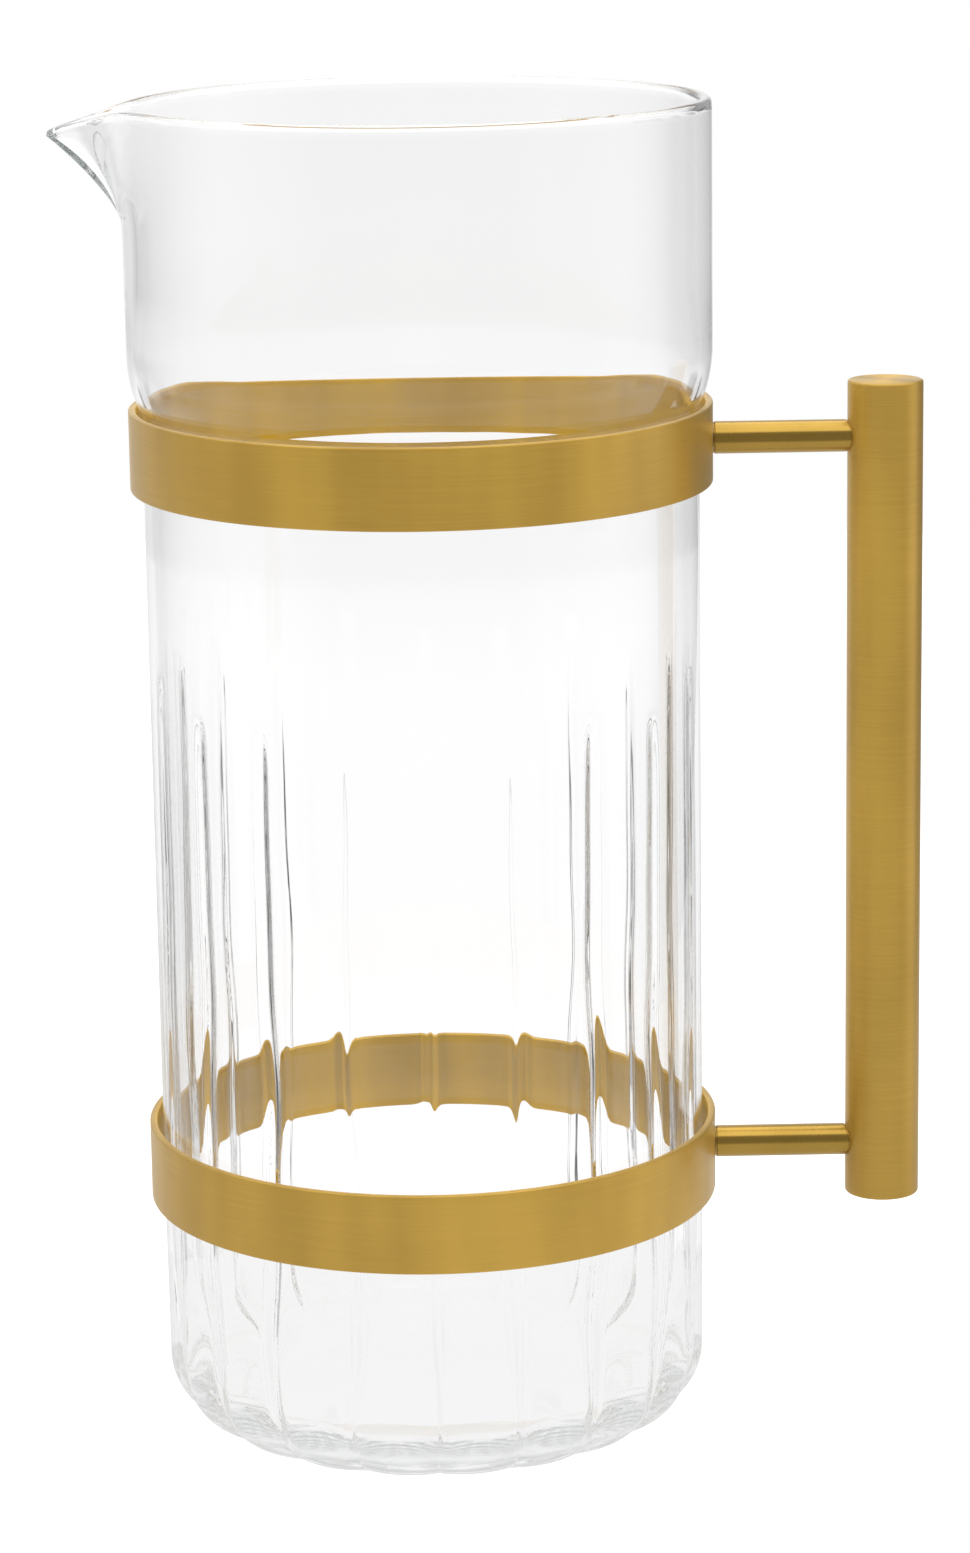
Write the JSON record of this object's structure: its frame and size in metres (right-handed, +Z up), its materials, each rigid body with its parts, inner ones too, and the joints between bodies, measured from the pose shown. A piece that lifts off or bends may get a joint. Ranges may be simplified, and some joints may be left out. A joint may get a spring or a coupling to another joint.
{
  "type": "wine carafe",
  "caption": "Straight fluted glass carafe with a pulled pouring lip, held in brass hoops that carry an upright round handle bar; the glass lifts out of the frame.",
  "frame": {"origin": "centre of the glass base, on the surface that the carafe stands on", "axes": "+Z up along the vessel's axis, +X towards the handle, -X towards the pouring lip"},
  "size_m": [0.1486, 0.1, 0.2321],
  "materials": {
    "glass": "clear blown glass, fire-polished",
    "brass": "satin brushed brass",
    "silicone": "clear silicone, matt",
    "steel": "stainless steel"
  },
  "bodies": {
    "frame": {"upper_band": "brass", "lower_band": "brass", "upper_liner": "silicone", "lower_liner": "silicone", "upper_post": "brass", "lower_post": "brass", "handle_bar": "brass", "upper_band_screw": "steel", "lower_band_screw": "steel", "upper_post_stud": "steel", "lower_post_stud": "steel"},
    "glass": {"glass_body": "glass"}
  },
  "joints": [
    {"name": "glass_lift", "type": "slide", "parent": "frame", "child": "glass", "axis": [0, 0, 1], "range_m": [0, 0.185]}
  ]
}
